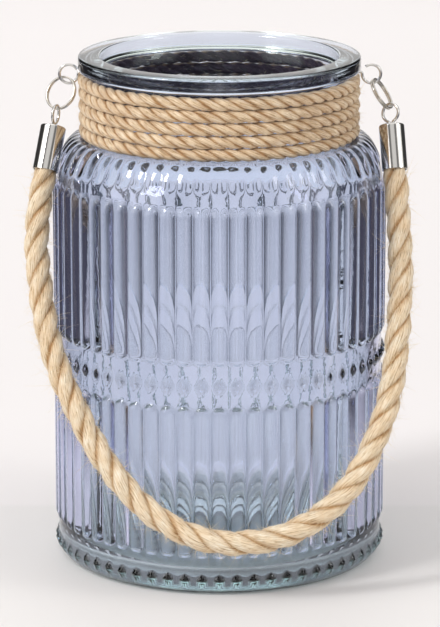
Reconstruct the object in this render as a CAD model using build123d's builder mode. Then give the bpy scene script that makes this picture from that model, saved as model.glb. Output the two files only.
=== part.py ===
"""Pressed-glass jar lantern with a roped neck and a rope handle.

Millimetres, +Z up, origin at the centre of the jar's foot, -Y is the front.
The handle hangs in front of the jar, and swings up about two wire eyes under the rim.
"""

from build123d import *
from math import atan2, cos, degrees, pi, radians, sin, sqrt, tan
import os

os.makedirs("parts", exist_ok=True)

# ---- glass jar ----
jar_height = 250.0
body_radius = 80.0  # the plain wall between the ribs
foot_round = 7.0
glass_wall = 4.0
floor_thickness = 6.0
inner_floor_round = 14.0
shoulder_inset = 12.0  # how far the shoulder comes in, from the wall to the ledge
shoulder_rise = 24.0
inner_shoulder_drop = 3.6  # glass thickness under the ledge
neck_lip_round = 3.0
neck_radius = 62.0
neck_wall = 4.2
rim_radius = 68.7
rim_thickness = 7.6
rim_round = 1.6

# ---- ribs pressed into the glass ----
rib_count = 60
rib_height = 2.0  # how far a crest stands off the wall
rib_sink = 0.1  # how far the valley between two ribs lies under the wall's surface
rib_root = 1.0
rib_end_slope = 2.5
rib_foot_gap = 18.9
lower_rib_length = 75.5
band_height = 19.6  # the plain band between the two rows of ribs
rib_overrun = 3.5  # how far the upper ribs run past the start of the shoulder

# ---- rope and wire around the neck ----
neck_rope_diameter = 6.1
neck_rope_turns = 5
neck_rope_web = 3.0
neck_clearance = 0.15
wire_diameter = 1.36
wire_gap = 0.2

# ---- hanging eyes, the two ends of the neck wire ----
eye_radius = 4.55  # to the middle of the wire
eye_bend = 1.0
eye_offset_y = -2.0
eye_tuck = {"left": 0.93, "right": 0.23}  # how far the wire reaches in past the rim's side
eye_rope_gap = 0.45  # least room between the neck rope's side and the rim's side
eye_end_angle = {"left": 150.0, "right": 128.0}

# ---- split rings, each two flat coils of wire pressed together ----
ring_radius = 8.1
ring_wire = 0.96
ring_coil_pitch = 0.98
ring_web = 0.5

# ---- eyes on the rope caps, each a wire loop whose two legs go into the cap ----
cap_eye_radius = 4.45
cap_eye_wire = 1.4
cap_eye_neck = 1.6  # bend that brings the legs together
leg_gap = 0.1
bead_radius = 2.4  # drop of solder on the legs' ends, inside the cap
bead_length = 1.8
bead_gap = 0.1
cap_eye_lift = 5.9  # from the cap's top to the eye's centre

# ---- rope caps ----
cap_radius = 6.2
cap_length = 22.3
cap_wall = 0.5
cap_top = 1.0
cap_round = 0.9
leg_clearance = 0.1

# ---- handle rope ----
handle_diameter = 12.2
rope_in_cap = 15.0
rope_fit = 0.1
rope_lead = 28.0  # the rope's straight stretch out of each cap
# The rope's way round the front of the jar, from the left cap's side to the right's.
rope_points = [
    (-86.5, -40.4, 145.3),
    (-82.0, -51.7, 118.6),
    (-71.5, -62.1, 94.2),
    (-58.0, -72.4, 69.8),
    (-37.5, -82.8, 45.5),
    (-12.5, -88.6, 31.6),
    (15.0, -89.8, 28.9),
    (41.5, -86.7, 36.3),
    (62.5, -79.5, 53.3),
    (75.5, -69.9, 75.8),
    (83.5, -59.1, 101.1),
    (86.0, -48.8, 125.5),
    (87.5, -39.6, 147.2),
]
arc_share = 0.45  # how much of the shorter run each bend may use

# ---- how the links hang at rest, from the jar's eyes down to the caps ----
hang_tilt = 23.0  # the whole handle leans this far forward to clear the jar
# Each link's centre is given from the one above it, and its turn about the vertical.
ring_offset = {"left": (-3.76, -2.43, -8.93), "right": (5.01, -1.56, -9.58)}
ring_turn = {"left": -36.7, "right": 74.5}
ring_tilt = {"left": 33.2, "right": 25.8}
ring_lean = {"left": 0.0, "right": 26.0}
cap_eye_offset = {"left": (-2.49, -3.90, -9.85), "right": (4.10, -6.07, -8.20)}
cap_eye_turn = {"left": -107.7, "right": -37.8}
cap_lean = {"left": -10.0, "right": 4.0}

# ---- worked out from the sizes above ----
rim_bottom = jar_height - rim_thickness
wire_height = rim_bottom - wire_gap - wire_diameter / 2
neck_rope_top = wire_height - wire_diameter / 2 - wire_gap
neck_rope_bottom = neck_rope_top - neck_rope_turns * neck_rope_diameter
ledge_height = neck_rope_bottom - neck_clearance
shoulder_start = ledge_height - shoulder_rise
shoulder_radius = body_radius - shoulder_inset
neck_bore_radius = neck_radius - neck_wall
inner_radius = body_radius - glass_wall
inner_shoulder_top = ledge_height - inner_shoulder_drop
inner_shoulder_radius = neck_bore_radius + neck_lip_round
inner_shoulder_start = shoulder_start - glass_wall / 2
lower_ribs_top = rib_foot_gap + lower_rib_length
upper_ribs_bottom = lower_ribs_top + band_height
upper_ribs_top = shoulder_start + rib_overrun
neck_rope_circle = neck_radius + neck_clearance + neck_rope_diameter / 2
neck_wire_circle = neck_radius + neck_clearance + wire_diameter / 2
neck_rope_side = neck_rope_circle + neck_rope_diameter / 2
eye_height = wire_height - eye_bend
eye_side = max(rim_radius, neck_rope_side + eye_rope_gap) + wire_diameter / 2 + eye_radius
eye_reach = {side: eye_side - eye_tuck[side] for side in ("left", "right")}
cap_bore_radius = cap_radius - cap_wall
leg_x = (cap_eye_wire + leg_gap) / 2
leg_end = cap_eye_lift + cap_top + bead_length


def hang_direction(lean):
    """Which way a hanging link points: down, forward by hang_tilt, sideways by lean."""
    tilt, side = radians(hang_tilt), radians(lean)
    return Vector(sin(side), -sin(tilt) * cos(side), -cos(tilt) * cos(side))


def rib_band(low, high):
    """A ring of half-round ribs side by side, their ends sloped down to the wall."""
    half = pi / rib_count
    crest, valley = body_radius + rib_height, body_radius - rib_sink
    with BuildPart() as band:
        with BuildSketch(Plane.XY.offset(low)):
            with BuildLine():
                for k in range(rib_count):
                    middle = 2 * pi * k / rib_count - pi / 2
                    ThreePointArc(
                        (valley * cos(middle - half), valley * sin(middle - half)),
                        (crest * cos(middle), crest * sin(middle)),
                        (valley * cos(middle + half), valley * sin(middle + half)),
                    )
            make_face()
            Circle(body_radius - rib_root, mode=Mode.SUBTRACT)
        extrude(amount=high - low)
        with BuildSketch(Plane.XZ):
            Polygon(
                (body_radius - rib_root, low),
                (body_radius, low),
                (crest, low + rib_end_slope),
                (crest, high - rib_end_slope),
                (body_radius, high),
                (body_radius - rib_root, high),
                align=None,
            )
        revolve(axis=Axis.Z, mode=Mode.INTERSECT)
    return band.part


# ---- the jar: a turned body with two rows of pressed ribs ----
ribs = [rib_band(rib_foot_gap, lower_ribs_top), rib_band(upper_ribs_bottom, upper_ribs_top)]

with BuildPart() as glass_jar:
    with BuildSketch(Plane.XZ):
        with BuildLine():
            flat = body_radius - foot_round
            Line((0, 0), (flat, 0))
            CenterArc((flat, foot_round), foot_round, -90, 90)
            Line((body_radius, foot_round), (body_radius, shoulder_start))
            EllipticalCenterArc(
                (shoulder_radius, shoulder_start), shoulder_inset, shoulder_rise, 0, arc_size=90
            )
            Polyline(
                (shoulder_radius, ledge_height),
                (neck_radius, ledge_height),
                (neck_radius, rim_bottom),
                (rim_radius - rim_round, rim_bottom),
            )
            CenterArc((rim_radius - rim_round, rim_bottom + rim_round), rim_round, -90, 90)
            Line((rim_radius, rim_bottom + rim_round), (rim_radius, jar_height - rim_round))
            CenterArc((rim_radius - rim_round, jar_height - rim_round), rim_round, 0, 90)
            lip = neck_bore_radius + rim_round
            Line((rim_radius - rim_round, jar_height), (lip, jar_height))
            CenterArc((lip, jar_height - rim_round), rim_round, 90, 90)
            lip_low = inner_shoulder_top + neck_lip_round
            Line((neck_bore_radius, jar_height - rim_round), (neck_bore_radius, lip_low))
            CenterArc((inner_shoulder_radius, lip_low), neck_lip_round, 180, 90)
            EllipticalCenterArc(
                (inner_shoulder_radius, inner_shoulder_start),
                inner_radius - inner_shoulder_radius,
                inner_shoulder_top - inner_shoulder_start,
                0,
                arc_size=90,
            )
            floor_bend = floor_thickness + inner_floor_round
            Line((inner_radius, inner_shoulder_start), (inner_radius, floor_bend))
            bowl = inner_radius - inner_floor_round
            CenterArc((bowl, floor_bend), inner_floor_round, -90, 90)
            Polyline((bowl, floor_thickness), (0, floor_thickness), (0, 0))
        make_face()
    revolve(axis=Axis.Z)
    add(ribs)
glass_jar.part.label = "glass_jar"
export_step(glass_jar.part, "parts/glass_jar.step")


# ---- the rope wrapped around the neck, as the closed outer shape of its turns ----
with BuildPart() as neck_rope:
    with BuildSketch(Plane.XZ):
        middle = (neck_rope_top + neck_rope_bottom) / 2
        with Locations((neck_rope_circle, middle)):
            with GridLocations(0, neck_rope_diameter, 1, neck_rope_turns):
                Circle(neck_rope_diameter / 2)
            Rectangle(neck_rope_web, (neck_rope_turns - 1) * neck_rope_diameter)
    revolve(axis=Axis.Z)
neck_rope.part.label = "neck_rope"
export_step(neck_rope.part, "parts/neck_rope.step")


# ---- the wire under the rim: a ring around the neck whose two ends curl into eyes ----
def eye_centre(side):
    sign = -1 if side == "left" else 1
    return Vector(sign * eye_reach[side], eye_offset_y, eye_height)


def eye_hook(side):
    """The wire comes out under the rim, bends down and curls round into an open eye."""
    sign = -1 if side == "left" else 1
    place = Plane(origin=eye_centre(side), x_dir=(sign, 0, 0), z_dir=(0, -sign, 0))
    start = neck_wire_circle - eye_reach[side]
    with BuildPart() as hook:
        with BuildLine(place) as path:
            Line((start, eye_bend), (-eye_radius - eye_bend, eye_bend))
            CenterArc((-eye_radius - eye_bend, 0), eye_bend, 90, -90)
            CenterArc((0, 0), eye_radius, 180, 180 + eye_end_angle[side])
        with BuildSketch(Plane(path.line @ 0, z_dir=path.line % 0)):
            Circle(wire_diameter / 2)
        sweep()
    return hook.part


hooks = [eye_hook("left"), eye_hook("right")]

with BuildPart() as neck_wire:
    with BuildSketch(Plane.XZ):
        with Locations((neck_wire_circle, wire_height)):
            Circle(wire_diameter / 2)
    revolve(axis=Axis.Z)
    add(hooks)
neck_wire.part.label = "neck_wire"
export_step(neck_wire.part, "parts/neck_wire.step")


# ---- the links at each side, from the jar's eye down to the rope's cap ----
cap_mouth = {}

for side in ("left", "right"):
    ring_centre = eye_centre(side) + Vector(*ring_offset[side])
    turn, tilt, lean = (radians(a[side]) for a in (ring_turn, ring_tilt, ring_lean))
    across = Vector(cos(turn), sin(turn), 0)
    down = Vector(sin(lean), -sin(tilt) * cos(lean), -cos(tilt) * cos(lean))
    ring_axis = across.cross(down).normalized()

    with BuildPart() as split_ring:
        with BuildSketch(Plane(ring_centre, x_dir=across, z_dir=ring_axis.cross(across))):
            with Locations((ring_radius, 0)):
                with GridLocations(0, ring_coil_pitch, 1, 2):
                    Circle(ring_wire / 2)
                Rectangle(ring_web, ring_coil_pitch)
        revolve(axis=Axis(ring_centre, ring_axis))
    split_ring.part.label = f"{side}_split_ring"
    export_step(split_ring.part, f"parts/{side}_split_ring.step")

    # The cap-eye is a loop of wire whose legs come together and go down into the cap.
    loop_centre = ring_centre + Vector(*cap_eye_offset[side])
    hang = hang_direction(cap_lean[side])
    turn = radians(cap_eye_turn[side])
    level = Vector(cos(turn), sin(turn), 0)
    across = (level - hang * level.dot(hang)).normalized()
    loop_plane = Plane(loop_centre, x_dir=across, z_dir=hang.cross(across))
    neck_y = sqrt((cap_eye_radius + cap_eye_neck) ** 2 - (leg_x + cap_eye_neck) ** 2)
    neck_angle = degrees(atan2(neck_y, leg_x + cap_eye_neck))

    with BuildPart() as cap_eye:
        with BuildLine(loop_plane) as path:
            Line((-leg_x, -leg_end), (-leg_x, -neck_y))
            CenterArc((-leg_x - cap_eye_neck, -neck_y), cap_eye_neck, 0, neck_angle)
            CenterArc((0, 0), cap_eye_radius, 180 + neck_angle, -180 - 2 * neck_angle)
            CenterArc(
                (leg_x + cap_eye_neck, -neck_y), cap_eye_neck, 180 - neck_angle, neck_angle
            )
            Line((leg_x, -neck_y), (leg_x, -leg_end))
        with BuildSketch(Plane(path.line @ 0, z_dir=path.line % 0)):
            Circle(cap_eye_wire / 2)
        sweep()
        with BuildSketch(Plane(loop_centre + hang * leg_end, z_dir=-hang)):
            Circle(bead_radius)
        extrude(amount=bead_length - bead_gap)
    cap_eye.part.label = f"{side}_cap_eye"
    export_step(cap_eye.part, f"parts/{side}_cap_eye.step")

    # The cap is a drawn metal cup, mouth down, with a hole in its top for the two legs.
    top_centre = loop_centre + hang * cap_eye_lift
    cap_mouth[side] = top_centre + hang * cap_length
    with BuildPart() as rope_cap:
        with BuildSketch(Plane(top_centre, x_dir=across, z_dir=hang)):
            Circle(cap_radius)
        extrude(amount=cap_length)
        top_edge = rope_cap.edges().filter_by(GeomType.CIRCLE).sort_by(Axis(top_centre, hang))[0]
        fillet(top_edge, cap_round)
        with BuildSketch(Plane(top_centre + hang * cap_top, x_dir=across, z_dir=hang)):
            Circle(cap_bore_radius)
        extrude(amount=cap_length, mode=Mode.SUBTRACT)
        with BuildSketch(Plane(top_centre, x_dir=across, z_dir=hang)):
            slot_width = cap_eye_wire + 2 * leg_clearance
            SlotOverall(2 * leg_x + slot_width, slot_width)
        extrude(amount=cap_top, mode=Mode.SUBTRACT)
    rope_cap.part.label = f"{side}_rope_cap"
    export_step(rope_cap.part, f"parts/{side}_rope_cap.step")


# ---- the handle rope: its squeezed ends sit in the caps ----
way_down = {side: hang_direction(cap_lean[side]) for side in cap_mouth}
route = [cap_mouth["left"], cap_mouth["left"] + way_down["left"] * rope_lead]
route += [Vector(*point) for point in rope_points]
route += [cap_mouth["right"] + way_down["right"] * rope_lead, cap_mouth["right"]]

radii = []
for before, corner, after in zip(route, route[1:], route[2:]):
    run_in, run_out = corner - before, after - corner
    half_turn = radians(run_in.get_angle(run_out)) / 2
    radii.append(arc_share * min(run_in.length, run_out.length) / tan(half_turn))
print("rope bend radii", [round(radius) for radius in radii])

with BuildPart() as handle_rope:
    with BuildLine() as path:
        FilletPolyline(*route, radius=radii)
    with BuildSketch(Plane(cap_mouth["left"], z_dir=way_down["left"])):
        Circle(handle_diameter / 2)
    sweep()
    section = pi * (handle_diameter / 2) ** 2
    length = path.wire().length
    print("rope length", round(length, 1), "volume", round(handle_rope.part.volume))
    print("section times length", round(section * length))
    for side in cap_mouth:
        with BuildSketch(Plane(cap_mouth[side], z_dir=-way_down[side])):
            Circle(cap_bore_radius - rope_fit)
        extrude(amount=rope_in_cap)
handle_rope.part.label = "handle_rope"
export_step(handle_rope.part, "parts/handle_rope.step")
for side, mouth in cap_mouth.items():
    second = mouth + way_down[side] * rope_lead
    print(side, "rope ends", [tuple(round(v, 2) for v in point) for point in (mouth, second)])
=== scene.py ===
"""Looks of a pressed-glass jar lantern with a roped neck and a rope handle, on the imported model.

Everything is in metres, in the part's own frame: +Z up, -Y the front, the origin under the jar.
Surfaces are grids of two parameters, worked out as whole arrays and closed at seams and ends.
"""

import math

import bpy
import numpy as np
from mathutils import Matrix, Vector


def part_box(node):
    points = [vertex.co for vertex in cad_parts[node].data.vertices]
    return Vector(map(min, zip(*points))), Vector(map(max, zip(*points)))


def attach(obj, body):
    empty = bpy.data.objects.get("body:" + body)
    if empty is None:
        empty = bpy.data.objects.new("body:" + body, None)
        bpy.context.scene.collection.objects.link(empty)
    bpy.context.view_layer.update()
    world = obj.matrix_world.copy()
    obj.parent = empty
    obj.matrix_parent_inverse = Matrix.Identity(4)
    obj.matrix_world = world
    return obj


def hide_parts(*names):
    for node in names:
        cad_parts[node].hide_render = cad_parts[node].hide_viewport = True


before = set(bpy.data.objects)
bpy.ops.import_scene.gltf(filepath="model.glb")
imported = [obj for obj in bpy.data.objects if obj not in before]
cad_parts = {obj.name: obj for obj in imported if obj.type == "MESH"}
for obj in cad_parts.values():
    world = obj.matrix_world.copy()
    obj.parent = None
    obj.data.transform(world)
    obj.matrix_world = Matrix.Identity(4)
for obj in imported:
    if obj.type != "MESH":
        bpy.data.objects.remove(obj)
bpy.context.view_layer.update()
mm = 0.001

# ---- Studio ----
# A pale table and backdrop, and a soft room of light panels with darker gaps between them.
# The gaps are what draws the dark edges along every rib of the glass.

camera_data = bpy.data.cameras.new("camera")
camera_data.sensor_width = 36.0
camera_data.lens = 212.8
camera_data.clip_end = 50.0
camera = bpy.data.objects.new("camera", camera_data)
camera.location = (0.0003, -1.7726, 0.5671)
camera.rotation_euler = (math.radians(90.0 - 14.151), 0.0, 0.0)
bpy.context.scene.collection.objects.link(camera)
bpy.context.scene.camera = camera
bpy.context.scene.view_settings.view_transform = "Standard"
bpy.context.scene.cycles.max_bounces = 24
bpy.context.scene.cycles.transmission_bounces = 24


def linear(code):
    """An sRGB hex colour as linear red, green, blue and alpha.

    Each part is ((c + 0.055) / 1.055) ** 2.4, or c / 12.92 where it is dark.
    """
    parts = np.array([int(code[i:i + 2], 16) for i in (1, 3, 5)]) / 255.0
    curve = np.where(parts <= 0.04045, parts / 12.92, ((parts + 0.055) / 1.055) ** 2.4)
    return (*curve.tolist(), 1.0)


def add_node(tree, kind, values=None, **settings):
    """Adds a node, sets its properties, and sets or links its inputs by name or number."""
    made = tree.nodes.new(kind)
    for key, value in settings.items():
        setattr(made, key, value)
    for key, value in (values or {}).items():
        if isinstance(value, bpy.types.NodeSocket):
            tree.links.new(value, made.inputs[key])
        else:
            made.inputs[key].default_value = value
    return made


def new_material(name):
    """A material with its node tree and its surface shader, which the section then fills in."""
    made = bpy.data.materials.new(name)
    made.use_nodes = True
    return made, made.node_tree, made.node_tree.nodes["Principled BSDF"]


def studio_room():
    """The room's light by direction: bright panels all round, with darker gaps between them."""
    world = bpy.data.worlds.new("studio")
    world.use_nodes = True
    tree = world.node_tree
    background = tree.nodes["Background"]
    where = add_node(tree, "ShaderNodeTexCoord")
    axes = add_node(tree, "ShaderNodeSeparateXYZ", {0: where.outputs["Generated"]})
    turn = add_node(tree, "ShaderNodeMath", {0: axes.outputs[0], 1: axes.outputs[1]},
                    operation="ARCTAN2")
    share = add_node(tree, "ShaderNodeMapRange", {0: turn.outputs[0], 1: -math.pi, 2: math.pi})
    panels = add_node(tree, "ShaderNodeValToRGB", {0: share.outputs[0]})
    # Round the compass from the front by the left, the back and the right to the front again.
    # The ramp keeps half of each level, and the last sum doubles it.
    stops = [
        (0.000, 0.80), (0.050, 0.80), (0.070, 0.20), (0.110, 0.20), (0.130, 1.90),
        (0.230, 1.90), (0.250, 0.05), (0.435, 0.05), (0.455, 1.00), (0.545, 1.00),
        (0.565, 0.05), (0.740, 0.05), (0.760, 1.30), (0.870, 1.30), (0.890, 0.20),
        (0.930, 0.20), (0.950, 0.80), (1.000, 0.80),
    ]
    ramp = panels.color_ramp
    ramp.elements[0].position, ramp.elements[1].position = stops[0][0], stops[-1][0]
    for place, level in stops[1:-1]:
        ramp.elements.new(place)
    for element, (place, level) in zip(ramp.elements, stops):
        element.position = place
        element.color = (level / 2, level / 2, level / 2, 1.0)
    # Overhead the panels fade into an even grey ceiling.
    height = add_node(tree, "ShaderNodeMapRange", {0: axes.outputs[2], 1: 0.55, 2: 0.85},
                      interpolation_type="SMOOTHSTEP")
    ring = add_node(tree, "ShaderNodeMix", {0: height.outputs[0], 6: panels.outputs[0],
                    7: (0.55, 0.55, 0.55, 1.0)}, data_type="RGBA")
    warm = add_node(tree, "ShaderNodeMix", {0: 1.0, 6: ring.outputs[2],
                    7: (1.0, 0.985, 0.98, 1.0)}, data_type="RGBA", blend_type="MULTIPLY")
    double = add_node(tree, "ShaderNodeMix", {0: 1.0, 6: warm.outputs[2], 7: warm.outputs[2]},
                      data_type="RGBA", blend_type="ADD")
    seen = add_node(tree, "ShaderNodeLightPath")
    shown = add_node(tree, "ShaderNodeMix", {0: seen.outputs["Is Camera Ray"],
                     6: double.outputs[2], 7: linear("#F6F2F1")}, data_type="RGBA")
    tree.links.new(shown.outputs[2], background.inputs["Color"])
    background.inputs["Strength"].default_value = 1.0
    bpy.context.scene.world = world


studio_room()

aim = Vector((0.0, 0.0, 0.13))  # the middle of the jar
for light_name, place, size, power in (
    ("key_softbox", (-2.1, -1.4, 2.3), (0.7, 1.1), 46.0),
    ("fill_softbox", (2.6, -1.2, 1.7), (0.6, 1.4), 12.0),
):
    light_data = bpy.data.lights.new(light_name, "AREA")
    light_data.shape = "RECTANGLE"
    light_data.size, light_data.size_y = size
    light_data.energy = power
    light_lamp = bpy.data.objects.new(light_name, light_data)
    light_lamp.location = place
    away = Vector(place) - aim
    light_lamp.rotation_euler = away.to_track_quat("Z", "Y").to_euler()
    bpy.context.scene.collection.objects.link(light_lamp)

table_data = bpy.data.meshes.new("table_top")
reach = 30.0
table_data.from_pydata([(-reach, -reach, 0), (reach, -reach, 0), (reach, reach, 0),
                        (-reach, reach, 0)], [], [(0, 1, 2, 3)])
table_top = bpy.data.objects.new("table_top", table_data)
bpy.context.scene.collection.objects.link(table_top)
table_paint, tree, shader = new_material("matt_white_table")
where = add_node(tree, "ShaderNodeTexCoord")
axes = add_node(tree, "ShaderNodeSeparateXYZ", {0: where.outputs["Object"]})
far = add_node(tree, "ShaderNodeMapRange", {0: axes.outputs[1], 1: 0.066, 2: 0.072})
tone = add_node(tree, "ShaderNodeMix", {0: far.outputs[0], 6: linear("#E7E4E2"),
                7: linear("#ECE8E7")}, data_type="RGBA")
distance = add_node(tree, "ShaderNodeMapRange", {0: axes.outputs[1], 1: 0.35, 2: 1.5})
tone = add_node(tree, "ShaderNodeMix", {0: distance.outputs[0], 6: tone.outputs[2],
                7: linear("#F9F5F4")}, data_type="RGBA")
# Painted reflection: in rays that come through the glass or off the metal, the table outside a
# pale strip that widens to the back is painted dark, for a dark studio round the sweep.
depth = add_node(tree, "ShaderNodeMath", {0: axes.outputs[1], 1: 0.0}, operation="MAXIMUM")
side = add_node(tree, "ShaderNodeMath", {0: axes.outputs[0]}, operation="ABSOLUTE")
strip = add_node(tree, "ShaderNodeMath", {0: depth.outputs[0], 1: -0.30, 2: side.outputs[0]},
                 operation="MULTIPLY_ADD")
beyond = add_node(tree, "ShaderNodeMapRange", {0: strip.outputs[0], 1: 0.17, 2: 0.30})
kind = add_node(tree, "ShaderNodeLightPath")
plain = add_node(tree, "ShaderNodeMath", {0: kind.outputs["Is Camera Ray"],
                 1: kind.outputs["Is Diffuse Ray"]}, operation="MAXIMUM")
through = add_node(tree, "ShaderNodeMath", {0: 1.0, 1: plain.outputs[0]}, operation="SUBTRACT")
amount = add_node(tree, "ShaderNodeMath", {0: beyond.outputs[0], 1: through.outputs[0]},
                  operation="MULTIPLY")
shown = add_node(tree, "ShaderNodeMix", {0: amount.outputs[0], 6: tone.outputs[2],
                 7: linear("#45434C")}, data_type="RGBA")
tree.links.new(shown.outputs[2], shader.inputs["Base Color"])
shader.inputs["Roughness"].default_value = 0.6
shader.inputs["Specular IOR Level"].default_value = 0.2
table_data.materials.append(table_paint)

# ---- Handle rope ----
# A thick jute rope of three strands, laid up right-handed, its ends pressed into the metal caps.
# Combed jute is dull and golden, with pale fibres along each yarn and loose hairs all round.

rope_route = np.array([
    (-0.08415, -0.01918, 0.19618), (-0.08901, -0.02996, 0.17079),
    (-0.0865, -0.0404, 0.1453), (-0.0820, -0.0517, 0.1186), (-0.0715, -0.0621, 0.0942),
    (-0.0580, -0.0724, 0.0698), (-0.0375, -0.0828, 0.0455), (-0.0125, -0.0886, 0.0316),
    (0.0150, -0.0898, 0.0289), (0.0415, -0.0867, 0.0363), (0.0625, -0.0795, 0.0533),
    (0.0755, -0.0699, 0.0758), (0.0835, -0.0591, 0.1011), (0.0860, -0.0488, 0.1255),
    (0.0875, -0.0396, 0.1472), (0.08673, -0.03154, 0.17113), (0.08478, -0.02062, 0.19684),
])
handle_radius = 6.1 * mm
handle_lay = 40.0 * mm
squeeze = 0.86  # how much thinner the rope is inside a cap


def read_route(points):
    """The smooth line of a route: a NURBS spline of order 3, read back as points."""
    data = bpy.data.curves.new("route", "CURVE")
    data.dimensions = "3D"
    data.resolution_u = 24
    spline = data.splines.new("NURBS")
    spline.points.add(len(points) - 1)
    spline.points.foreach_set("co", np.c_[points, np.ones(len(points))].ravel())
    spline.order_u = 3
    spline.use_endpoint_u = True
    holder = bpy.data.objects.new("route", data)
    bpy.context.scene.collection.objects.link(holder)
    line = bpy.data.meshes.new_from_object(holder)
    found = np.empty(len(line.vertices) * 3)
    line.vertices.foreach_get("co", found)
    bpy.data.objects.remove(holder)
    bpy.data.meshes.remove(line)
    return found.reshape(-1, 3)


def unit(vectors):
    """Each vector divided by its own length."""
    return vectors / np.linalg.norm(vectors, axis=-1, keepdims=True)


def even_steps(line, step):
    """The line sampled at even distances: each coordinate interpolated on the arc length."""
    along = np.r_[0, np.cumsum(np.linalg.norm(np.diff(line, axis=0), axis=1))]
    marks = np.linspace(0, along[-1], int(along[-1] / step) + 1)
    return np.stack([np.interp(marks, along, line[:, k]) for k in range(3)], axis=1), marks


def soft_noise(marks, wave, seed):
    """A smooth random value along a line, about -1 to 1.

    It is a sum of cosines with wavelengths near the given one and random phases.
    """
    terms, usual_peak = 6, 2.5
    draw = np.random.default_rng(seed)
    waves = wave * draw.uniform(0.5, 1.8, terms)
    phases = draw.uniform(0, 2 * math.pi, terms)
    return np.cos(2 * math.pi * marks[:, None] / waves + phases).sum(axis=1) / usual_peak


def grid_faces(rows, columns, first=0):
    """Quads of a grid whose columns close on themselves, row by row."""
    row, column = np.meshgrid(np.arange(rows - 1), np.arange(columns), indexing="ij")
    here, beside = row * columns + column, row * columns + (column + 1) % columns
    quads = np.stack([here, beside, beside + columns, here + columns], axis=-1)
    return first + quads.reshape(-1, 4)


def mesh_piece(name, vertices, quads, triangles=(), uv=None):
    """A smooth-shaded mesh object from whole arrays; uv holds one pair for each face corner."""
    corners = np.r_[np.asarray(quads, int).ravel(), np.asarray(triangles, int).ravel()]
    sizes = np.r_[np.full(len(quads), 4), np.full(len(triangles), 3)].astype(int)
    data = bpy.data.meshes.new(name)
    data.vertices.add(len(vertices))
    data.vertices.foreach_set("co", np.asarray(vertices, np.float32).ravel())
    data.loops.add(len(corners))
    data.loops.foreach_set("vertex_index", corners.astype(np.int32))
    data.polygons.add(len(sizes))
    data.polygons.foreach_set("loop_start", np.r_[0, np.cumsum(sizes)[:-1]].astype(np.int32))
    if uv is not None:
        data.uv_layers.new(name="UVMap")
        data.uv_layers[0].data.foreach_set("uv", np.asarray(uv, np.float32).ravel())
    data.update(calc_edges=True)
    data.validate()
    data.shade_smooth()
    made = bpy.data.objects.new(name, data)
    bpy.context.scene.collection.objects.link(made)
    return made


def side_directions(line, reference):
    """The line's direction at each point and two square to it, the first nearest the reference."""
    ahead = unit(np.gradient(line, axis=0))
    first = unit(reference - (reference * ahead).sum(axis=1, keepdims=True) * ahead)
    return ahead, first, np.cross(ahead, first)


def laid_rope(name, line, marks, reference, radius, lay, sides, yarns, seed):
    """Three strands round a line: each centre turns once a lay at a strand's distance from it.

    A strand's section is a circle fluted by its yarns, cos(yarns * angle + twist), and it swells
    and thins a little along its length. radius is an array, so that a rope can be squeezed.
    """
    strand_centre, strand_radius = 0.39, 0.60  # shares of the rope's radius
    swelling, flute_depth, yarn_twist = 0.05, 0.045, 1.7  # shares of a strand's, turns in a lay
    _, first, second = side_directions(line, reference)
    angle = np.linspace(0, 2 * math.pi, sides, endpoint=False)
    points, quads, triangles, uv, depth = [], [], [], [], []
    rows = len(line)
    for strand in range(3):
        turn = 2 * math.pi * (marks / lay + strand / 3)[:, None]
        outward = np.cos(turn) * first + np.sin(turn) * second
        swell = 1 + swelling * soft_noise(marks, lay * 0.7, seed + strand)
        centre = line + outward * (radius * strand_centre)[:, None]
        _, out, beside = side_directions(centre, outward)
        twist = 2 * math.pi * marks[:, None] / lay * yarn_twist
        flute = 1 + flute_depth * np.cos(yarns * angle[None] + twist)
        reach = (radius * strand_radius * swell)[:, None] * flute
        ring = (centre[:, None] + reach[..., None] * (np.cos(angle)[None, :, None] * out[:, None]
                + np.sin(angle)[None, :, None] * beside[:, None]))
        base = sum(len(p) for p in points)
        faces = grid_faces(rows, sides, base)
        points.append(np.concatenate([ring.reshape(-1, 3), centre[:1], centre[-1:]]))
        depth.append(np.r_[(np.linalg.norm(ring - line[:, None], axis=2)
                            / radius[:, None]).ravel(), 0, 0])
        quads.append(faces)
        u = np.repeat(marks[:, None], sides + 1, axis=1)
        v = np.repeat(np.linspace(0, 1, sides + 1)[None], rows, axis=0)
        plan = np.stack([u, v], axis=-1)
        corners = np.stack([plan[:-1, :-1], plan[:-1, 1:], plan[1:, 1:], plan[1:, :-1]], axis=2)
        uv.append(corners.reshape(-1, 2))
        ids = np.arange(sides)
        start, end = base + rows * sides, base + rows * sides + 1
        last = base + (rows - 1) * sides
        triangles.append(np.c_[np.full(sides, start), base + (ids + 1) % sides, base + ids])
        triangles.append(np.c_[np.full(sides, end), last + ids, last + (ids + 1) % sides])
    ends = np.zeros((3 * 2 * sides * 3, 2))
    made = mesh_piece(name, np.concatenate(points), np.concatenate(quads),
                      np.concatenate(triangles), np.concatenate([*uv, ends]))
    layer = made.data.attributes.new("reach", "FLOAT", "POINT")
    layer.data.foreach_set("value", np.concatenate(depth).astype(np.float32))
    return made


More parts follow.
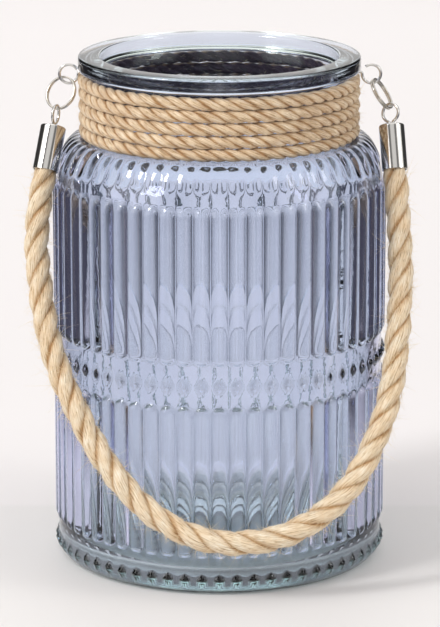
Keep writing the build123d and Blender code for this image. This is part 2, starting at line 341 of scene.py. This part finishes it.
def loose_hairs(name, line, reference, radius, count, longest, thickness, seed):
    """Fine fibres that leave a rope's surface, each a bent, tapering three-sided thread.

    A hair starts a little inside the surface, runs along the rope and outwards, and curls by t^2.
    thickness is the distance from its middle to its corners at the root.
    """
    rows, sides = 5, 3
    draw = np.random.default_rng(seed)
    ahead, first, second = side_directions(line, reference)
    at = draw.integers(2, len(line) - 2, count)
    turn = draw.uniform(0, 2 * math.pi, count)[:, None]
    outward = np.cos(turn) * first[at] + np.sin(turn) * second[at]
    beside = np.cross(ahead[at], outward)
    length = longest * draw.beta(1.3, 5.0, count)[:, None]
    way = unit(ahead[at] * draw.normal(0, 1, (count, 1))
               + outward * draw.uniform(0.1, 0.9, (count, 1))
               + beside * draw.normal(0, 0.6, (count, 1)))
    curl = unit(draw.normal(0, 1, (count, 3)) + np.array([0, 0, -0.4])) * length * 0.45
    root = line[at] + outward * radius * 0.86
    share = np.linspace(0, 1, rows)[None, :, None]
    spine = root[:, None] + way[:, None] * length[:, None] * share + curl[:, None] * share ** 2
    across = unit(np.cross(way, outward + 0.01))
    over = np.cross(way, across)
    wide = thickness * (1 - 0.75 * share)
    angle = 2 * math.pi * np.arange(sides) / sides
    ring = (spine[:, :, None] + wide[..., None] * (np.cos(angle)[None, None, :, None]
            * across[:, None, None] + np.sin(angle)[None, None, :, None] * over[:, None, None]))
    firsts = rows * sides * np.arange(count)[:, None, None]
    faces = (grid_faces(rows, sides)[None] + firsts).reshape(-1, 4)
    tips = np.array([(0, 2, 1), (12, 13, 14)])[None] + firsts
    return mesh_piece(name, ring.reshape(-1, 3), faces, tips.reshape(-1, 3))


def jute_material(name, fibres_round, dark_tone, pale_tone, shade_radius=0.0):
    """Combed jute: streaks of pale and brown fibre along the strand, matt with a soft sheen.

    Nearer the jar's axis than the given radius it is painted dark: painted shade for the cord's
    unlit side against the glass.
    """
    made, tree, shader = new_material(name)
    where = add_node(tree, "ShaderNodeTexCoord")
    place = add_node(tree, "ShaderNodeSeparateXYZ", {0: where.outputs["UV"]})
    # Bundles of fibre run along the strand with a slight slant, about 7 mm long and 0.5 mm wide.
    slant = add_node(tree, "ShaderNodeMath", {0: place.outputs[0], 1: 28.0, 2: place.outputs[1]},
                     operation="MULTIPLY_ADD")
    fibre = add_node(tree, "ShaderNodeCombineXYZ", {0: place.outputs[0], 1: slant.outputs[0]})
    long_map = add_node(tree, "ShaderNodeMapping", {"Vector": fibre.outputs[0],
                        "Scale": (150.0, fibres_round, 1.0)})
    streaks = add_node(tree, "ShaderNodeTexNoise", {"Vector": long_map.outputs[0], "Scale": 1.0,
                       "Detail": 5.0, "Roughness": 0.65})
    patches = add_node(tree, "ShaderNodeTexNoise", {"Vector": where.outputs["Object"],
                       "Scale": 120.0, "Detail": 3.0})
    colours = add_node(tree, "ShaderNodeValToRGB", {0: streaks.outputs[0]})
    ramp = colours.color_ramp
    ramp.elements[0].position, ramp.elements[1].position = 0.33, 0.68
    ramp.elements[0].color, ramp.elements[1].color = linear("#A78C6A"), linear("#FFFBF2")
    middle = ramp.elements.new(0.48)
    middle.color = linear("#E9D8BD")
    warm = add_node(tree, "ShaderNodeValToRGB", {0: patches.outputs[0]})
    warm.color_ramp.elements[0].position, warm.color_ramp.elements[1].position = 0.35, 0.65
    warm.color_ramp.elements[0].color = linear(dark_tone)
    warm.color_ramp.elements[1].color = linear(pale_tone)
    mixed = add_node(tree, "ShaderNodeMix", {0: 1.0, 6: colours.outputs[0], 7: warm.outputs[0]},
                     data_type="RGBA", blend_type="MULTIPLY")
    fuzz = add_node(tree, "ShaderNodeTexNoise", {"Vector": where.outputs["Object"],
                    "Scale": 900.0, "Detail": 3.0, "Roughness": 0.7})
    rough = add_node(tree, "ShaderNodeMath", {0: fuzz.outputs[0], 1: 0.6, 2: streaks.outputs[0]},
                     operation="MULTIPLY_ADD")
    bump = add_node(tree, "ShaderNodeBump", {"Height": rough.outputs[0], "Strength": 1.0,
                    "Distance": 0.0006})
    # Painted shade: the grooves between strands are darkened where they lie deep in the rope.
    crown = add_node(tree, "ShaderNodeAttribute", attribute_name="reach")
    groove = add_node(tree, "ShaderNodeMapRange", {0: crown.outputs["Fac"], 1: 0.74, 2: 0.93},
                      interpolation_type="SMOOTHSTEP")
    shaded = add_node(tree, "ShaderNodeMix", {0: groove.outputs[0], 6: linear("#C9AC87"),
                      7: (1, 1, 1, 1)}, data_type="RGBA")
    mixed = add_node(tree, "ShaderNodeMix", {0: 1.0, 6: mixed.outputs[2], 7: shaded.outputs[2]},
                     data_type="RGBA", blend_type="MULTIPLY")
    flat = add_node(tree, "ShaderNodeVectorMath", {0: where.outputs["Object"], 1: (1, 1, 0)},
                    operation="MULTIPLY")
    reach = add_node(tree, "ShaderNodeVectorMath", {0: flat.outputs[0]}, operation="LENGTH")
    # Painted shade: the side nearest the jar's axis, against the glass, is painted dark brown.
    unshaded_share = add_node(tree, "ShaderNodeMapRange", {0: reach.outputs["Value"],
                   1: shade_radius - 1.2 * mm, 2: shade_radius})
    painted_inner_shade = add_node(tree, "ShaderNodeMix", {0: unshaded_share.outputs[0], 6: linear("#57454B"),
                      7: mixed.outputs[2]}, data_type="RGBA")
    tree.links.new(painted_inner_shade.outputs[2], shader.inputs["Base Color"])
    tree.links.new(bump.outputs[0], shader.inputs["Normal"])
    shader.inputs["Roughness"].default_value = 0.85
    shader.inputs["Specular IOR Level"].default_value = 0.25
    shader.inputs["Sheen Weight"].default_value = 0.25
    shader.inputs["Sheen Roughness"].default_value = 0.5
    return made


rope_step = 0.9 * mm
handle_line, _ = even_steps(read_route(rope_route), rope_step)
lean = math.radians(23)  # how far the hanging handle leans forward
hang_side = np.array([0.0, math.cos(lean), -math.sin(lean)])
into_cap = 6.0 * mm
steps_in = np.arange(into_cap, 0.1 * mm, -rope_step)[:, None]
lead_in = handle_line[0] - steps_in * unit(handle_line[1] - handle_line[0])
lead_out = handle_line[-1] + steps_in[::-1] * unit(handle_line[-1] - handle_line[-2])
full_line = np.concatenate([lead_in, handle_line, lead_out])
full_marks = np.r_[0, np.cumsum(np.linalg.norm(np.diff(full_line, axis=0), axis=1))]
from_end = np.minimum(full_marks, full_marks[-1] - full_marks)
opened = np.clip((from_end - into_cap) / (4.0 * mm), 0, 1)
handle_width = handle_radius * (squeeze + (1 - squeeze) * opened ** 0.6)
handle_rope = laid_rope("jute_handle_rope", full_line, full_marks, hang_side, handle_width,
                        handle_lay, 22, 7, seed=11)
jute = jute_material("combed_jute", 42.0, "#F8EBDA", "#FFFDF8")
handle_rope.data.materials.append(jute)
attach(handle_rope, "handle")
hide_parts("handle_rope")

handle_hairs = loose_hairs("handle_rope_hairs", handle_line, hang_side, handle_radius, 5600,
                           15 * mm, 0.08 * mm, seed=21)
hair_jute, tree, shader = new_material("jute_hairs")
shader.inputs["Base Color"].default_value = linear("#F0DDB8")
shader.inputs["Roughness"].default_value = 0.8
handle_hairs.data.materials.append(hair_jute)
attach(handle_hairs, "handle")

# ---- Glass jar ----
# Soda glass pressed in a ribbed mould, then coated outside with a transparent blue-grey lustre.
# The coat stops short of the foot, where the bare glass keeps its own pale green.

_, jar_high = (np.array(c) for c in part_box("glass_jar"))
ribs_round = 60
# Where a rib's columns of points stand, in shares of the pitch, closest in its valleys.
rib_places = np.array([-0.5, -0.46, -0.37, -0.25, -0.12, 0, 0.12, 0.25, 0.37, 0.46])
# Relief in millimetres: stretches of the ribs and middles of the studs, along the outer wall.
lower_ribs, upper_ribs, shoulder_ribs = (18.9, 94.4), (114.0, 190.4), (196.6, 215.0)
rib_height, valley_depth, shoulder_rib_height = 1.65, 0.65, 0.42
foot_middle, band_middle, stud_half_height, stud_height = 8.0, 103.9, 3.7, 1.9


def arc(centre, radii, start, end, count):
    """Points of an ellipse's arc in the (radius, height) plane, angles in degrees."""
    turn = np.radians(np.linspace(start, end, count))
    return np.c_[centre[0] + radii[0] * np.cos(turn), centre[1] + radii[1] * np.sin(turn)]


def upright(radius, heights):
    """Points straight up a wall at the given heights."""
    return np.c_[np.full(len(heights), radius), heights]


def rib_relief(across, along, low, high, half_width, height, sunk, fall=0.55):
    """A half-round bar with round ends: (height + sunk) * (1 - d^2)^fall - sunk, d from its spine.

    Beside the bar the wall sinks by t^2 (3 - 2t) at the ends, so the valleys run out.
    """
    past = np.maximum(0, np.maximum(low + half_width - along, along - high + half_width))
    distance = (across ** 2 + past ** 2) / half_width ** 2
    bar = (height + sunk) * np.clip(1 - distance, 0, 1) ** fall - sunk
    run = np.clip((np.minimum(along - low, high - along) - 0.4) / 3.2, 0, 1)
    valley = -sunk * run ** 2 * (3 - 2 * run)
    return np.where(run + np.zeros_like(bar) > 0, np.maximum(bar, valley), np.maximum(bar, 0))


def stud_relief(across, along, centre, half_width, half_height, height):
    """A four-sided pointed stud: height * (1 - |x| / half width - |s| / half height)^0.8."""
    share = 1 - np.abs(across) / half_width - np.abs(along - centre) / half_height
    return height * np.clip(share, 0, 1) ** 0.8


def glass_profile():
    """Radius and height in millimetres: up the outside to the rim, then down the inside."""
    foot, ledge, ring_under = 7.0, 210.0, 242.4
    outside = [
        upright(35.0, [1.0]), upright(66.0, [0.9]), upright(69.0, [0.25]),
        upright(71.0, [0.0]), arc((73, foot), (7, 7), -90, -4, 9),
        upright(80, np.r_[np.arange(7.4, 13.0, 0.8), [14.5, 16.5, 18.0]]),
        upright(80, [18.9, 19.1, 19.5, 20.1, 20.9, 21.8, 22.8, 24.5, 40, 58, 75, 88.5]),
        upright(80, [90.4, 91.4, 92.3, 93.0, 93.6, 94.0, 94.3, 96.5, 98.5, 100.2]),
        upright(80, np.arange(100.9, 107.2, 0.85)),
        upright(80, [107.8, 109.5, 111.5, 113.9, 114.2, 114.7, 115.3, 116.1, 117.0, 118.0, 120]),
        upright(80, [136, 152, 168, 182, 184.5]),
        arc((68, 186), (12, 24), 0, 88, 27),
        upright(67.4, [ledge]), upright(65.0, [ledge]), upright(62.7, [ledge]),
        upright(62.0, [ledge + 0.7, 218, 226, 234, 241.4]), upright(62.6, [ring_under]),
        upright(67.1, [ring_under]), arc((67.1, 244.0), (1.6, 1.6), -60, 0, 4),
        upright(68.7, [246.2]), arc((67.1, 248.4), (1.6, 1.6), 0, 90, 6),
        upright(63.2, [250.0]),
    ]
    inside = [
        arc((59.4, 248.4), (1.6, 1.6), 90, 180, 6), upright(57.8, [242, 234, 226, 218, 212]),
        arc((60.8, 209.4), (3, 3), 180, 270, 6), arc((60.8, 184), (15.2, 22.4), 82, 0, 10),
        upright(76, [160, 136, 112, 88, 64, 40, 24]), arc((62, 20), (14, 14), 0, -90, 8),
        upright(40, [6.0]), upright(15, [6.0]),
    ]
    return np.concatenate(outside), np.concatenate(inside)


def glass_jar_mesh():
    """The jar as one closed skin: the profile turned round the axis, plus relief on its normal."""
    outside, inside = glass_profile()
    profile = np.concatenate([outside, inside]) * mm
    rows = len(profile)
    step = np.linalg.norm(np.diff(profile, axis=0), axis=1)
    along = np.r_[0, np.cumsum(step)]
    wall = int(np.argmax(profile[:, 1] > 7.3 * mm))
    along = (along - along[wall] + profile[wall, 1]) / mm
    slope = unit(np.gradient(profile, axis=0))
    normal = np.c_[slope[:, 1], -slope[:, 0]]
    pitch = 2 * math.pi / ribs_round
    turn = (np.arange(ribs_round)[:, None] + rib_places[None]).ravel() * pitch - math.pi / 2
    place = np.tile(rib_places, ribs_round)
    across = place[None] * pitch * profile[:, :1] / mm
    s = along[:, None]
    half = 0.485 * pitch * profile[:, :1] / mm
    foot_studs = stud_relief(across, s, foot_middle, 3.0, stud_half_height, stud_height)
    relief = (rib_relief(across, s, *lower_ribs, half, rib_height, valley_depth)
              + rib_relief(across, s, *upper_ribs, half, rib_height, valley_depth)
              + rib_relief(across, s, *shoulder_ribs, half * 0.96, shoulder_rib_height, 0.0, 1.2)
              + stud_relief(across, s, band_middle, 2.8, stud_half_height, stud_height)
              + foot_studs)
    outer = (np.arange(rows) < len(outside))[:, None]
    relief = np.where(outer & (profile[:, :1] > 64.5 * mm) & (s < 222), relief, 0.0)
    # The inner wall is uneven, a sum of four waves round and down it.
    draw = np.random.default_rng(5)
    ripple = np.zeros_like(relief)
    for strength, rounds, wave in ((0.16, 3, 110), (0.12, 7, 60), (0.10, 13, 45), (0.06, 29, 30)):
        phase, shift = draw.uniform(0, 6.28, 2)
        round_wave = np.cos(rounds * turn[None] + phase + s / wave)
        ripple += strength * round_wave * np.cos(s / wave + shift)
    wavy = ~outer & (profile[:, 1:] < 206 * mm) & (profile[:, :1] > 50 * mm)
    relief = np.where(wavy, relief + ripple, relief)
    place_r = profile[:, :1] + normal[:, :1] * relief * mm
    place_z = profile[:, 1:] + normal[:, 1:] * relief * mm
    place_r = np.minimum(place_r, jar_high[0] - 0.02 * mm)
    ring = np.stack([place_r * np.cos(turn), place_r * np.sin(turn),
                     np.broadcast_to(place_z, place_r.shape)], axis=-1)
    columns = len(turn)
    poles = np.array([(0, 0, profile[0, 1]), (0, 0, profile[-1, 1])])
    points = np.concatenate([ring.reshape(-1, 3), poles])
    ids = np.arange(columns)
    beside = (ids + 1) % columns
    last = (rows - 1) * columns
    bottom = np.c_[np.full(columns, rows * columns), beside, ids]
    floor = np.c_[np.full(columns, rows * columns + 1), last + ids, last + beside]
    made = mesh_piece("ribbed_glass_jar", points, grid_faces(rows, columns),
                      np.concatenate([bottom, floor]))
    height = points[:, 2] / mm
    is_outer = np.r_[np.repeat(outer[:, 0], columns), [True, False]]
    # The coat fades in above the foot and stops at the rim's top.
    below_rim = np.clip((249.6 - height) / 1.2, 0, 1)
    coated = np.clip((height - 3.0) / 16.0, 0, 1) * is_outer * below_rim
    layer = made.data.attributes.new("coated", "FLOAT", "POINT")
    layer.data.foreach_set("value", coated.astype(np.float32))
    hazy = np.clip((height - 1.2) / 2.0, 0, 1) * np.clip((17.0 - height) / 3.0, 0, 1) * is_outer
    hazy *= np.r_[1 - np.clip(foot_studs.ravel() / 0.5, 0, 1), 1, 1]  # wiped off the studs
    layer = made.data.attributes.new("hazy", "FLOAT", "POINT")
    layer.data.foreach_set("value", hazy.astype(np.float32))
    return made


jar = glass_jar_mesh()
lustre, tree, shader = new_material("blue_lustre_glass")
coat = add_node(tree, "ShaderNodeAttribute", attribute_name="coated")
tint = add_node(tree, "ShaderNodeMix", {0: coat.outputs["Fac"], 6: (0.90, 0.985, 0.955, 1.0),
                7: (0.645, 0.66, 0.90, 1.0)}, data_type="RGBA")
# The spray runs down and gathers round the foot, where it is a little milky.
haze = add_node(tree, "ShaderNodeAttribute", attribute_name="hazy")
milky = add_node(tree, "ShaderNodeMix", {0: haze.outputs["Fac"], 6: tint.outputs[2],
                 7: linear("#BCC8D8")}, data_type="RGBA")
tree.links.new(milky.outputs[2], shader.inputs["Base Color"])
clear = add_node(tree, "ShaderNodeMapRange", {0: haze.outputs["Fac"], 3: 1.0, 4: 0.72})
tree.links.new(clear.outputs[0], shader.inputs["Transmission Weight"])
body = add_node(tree, "ShaderNodeVolumeAbsorption")
body.inputs["Color"].default_value = (0.35, 0.93, 0.80, 1.0)
body.inputs["Density"].default_value = 3.5
tree.links.new(body.outputs[0], tree.nodes["Material Output"].inputs["Volume"])
where = add_node(tree, "ShaderNodeTexCoord")
ripples = add_node(tree, "ShaderNodeTexNoise", {"Vector": where.outputs["Object"],
                   "Scale": 260.0, "Detail": 2.0})
bump = add_node(tree, "ShaderNodeBump", {"Height": ripples.outputs[0], "Strength": 0.08,
                "Distance": 0.0003})
tree.links.new(bump.outputs[0], shader.inputs["Normal"])
shader.inputs["IOR"].default_value = 1.5
shader.inputs["Roughness"].default_value = 0.015
jar.data.materials.append(lustre)
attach(jar, "jar")
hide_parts("glass_jar")

# ---- Neck rope ----
# A thin jute cord of three strands wound five times round the neck, each turn on the one below.
# The turns lie level and step up to the next one at the right, behind the handle's eye.

neck_turns = 5
cord_low, cord_high = (np.array(c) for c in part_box("neck_rope"))
cord_radius = (cord_high[2] - cord_low[2]) / (2 * neck_turns)
cord_lay = 23.0 * mm
turn_step = 2 * cord_radius


def neck_line(step):
    """Level turns, each rising to the next over a short stretch by 3t^2 - 2t^3.

    The line stops where its last rise would begin, so it is that much short of full turns.
    """
    start, rise = math.radians(42), math.radians(34)
    angle = np.arange(start, start + neck_turns * 2 * math.pi - rise, step / cord_high[0])
    turns = (angle - start) / (2 * math.pi)
    whole = np.floor(turns)
    share = np.clip(((turns - whole) * 2 * math.pi - (2 * math.pi - rise)) / rise, 0, 1)
    height = cord_low[2] + cord_radius + turn_step * (whole + share ** 2 * (3 - 2 * share))
    marks = (angle - start) * cord_high[0]
    wander = 0.12 * mm * (1 + soft_noise(marks, 60 * mm, 3))
    reach = cord_high[0] - cord_radius + wander
    lift = 0.10 * mm * soft_noise(marks, 80 * mm, 4)
    return np.c_[reach * np.cos(angle), reach * np.sin(angle), height + lift], marks


upward = np.array([0.0, 0.0, 1.0])
cord_line, cord_marks = neck_line(1.15 * mm)
neck_cord = laid_rope("jute_neck_cord", cord_line, cord_marks, upward,
                      np.full(len(cord_line), cord_radius * 1.07), cord_lay, 10, 5, seed=31)
# The cord is painted in shade on its side within 65 mm of the jar's axis, against the glass.
neck_jute = jute_material("combed_jute_cord", 22.0, "#E6D5C2", "#FBF1E4", 65.0 * mm)
neck_cord.data.materials.append(neck_jute)
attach(neck_cord, "jar")
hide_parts("neck_rope")
neck_hairs = loose_hairs("neck_cord_hairs", cord_line, upward, cord_radius, 5200, 8 * mm,
                         0.08 * mm, seed=41)
neck_hairs.data.materials.append(hair_jute)
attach(neck_hairs, "jar")

# ---- Wire eyes, split rings and caps ----
# Round steel wire and drawn steel cups, all polished and plated with bright nickel.
# Nickel is a warm, slightly yellow grey that mirrors the room, with hair-fine polishing marks.


def nickel_material(name, colour, roughness, stretch):
    """Bright nickel plate: a mirror metal whose polish varies in fine lines along the piece."""
    made, tree, shader = new_material(name)
    where = add_node(tree, "ShaderNodeTexCoord")
    lines = add_node(tree, "ShaderNodeMapping", {"Vector": where.outputs["Object"],
                     "Scale": stretch})
    marks = add_node(tree, "ShaderNodeTexNoise", {"Vector": lines.outputs[0], "Scale": 1.0,
                     "Detail": 3.0})
    polish = add_node(tree, "ShaderNodeMapRange", {0: marks.outputs[0], 1: 0.3, 2: 0.7,
                      3: roughness * 0.7, 4: roughness * 1.4})
    tree.links.new(polish.outputs[0], shader.inputs["Roughness"])
    bump = add_node(tree, "ShaderNodeBump", {"Height": marks.outputs[0], "Strength": 0.05,
                    "Distance": 0.0001})
    tree.links.new(bump.outputs[0], shader.inputs["Normal"])
    shader.inputs["Base Color"].default_value = linear(colour)
    shader.inputs["Metallic"].default_value = 1.0
    return made


wire_nickel = nickel_material("nickel_plated_wire", "#DFDDD9", 0.12, (900.0, 900.0, 900.0))
cap_nickel = nickel_material("nickel_plated_cup", "#DCDAD6", 0.10, (2400.0, 2400.0, 90.0))
ring_nickel = nickel_material("nickel_plated_spring_wire", "#DAD5CB", 0.13, (900.0, 900.0, 900.0))
for finish, node_names in (
    (wire_nickel, ("neck_wire", "left_cap_eye", "right_cap_eye")),
    (cap_nickel, ("left_rope_cap", "right_rope_cap")),
    (ring_nickel, ("left_split_ring", "right_split_ring")),
):
    for node_name in node_names:
        node_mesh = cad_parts[node_name].data
        node_mesh.materials.clear()
        node_mesh.materials.append(finish)
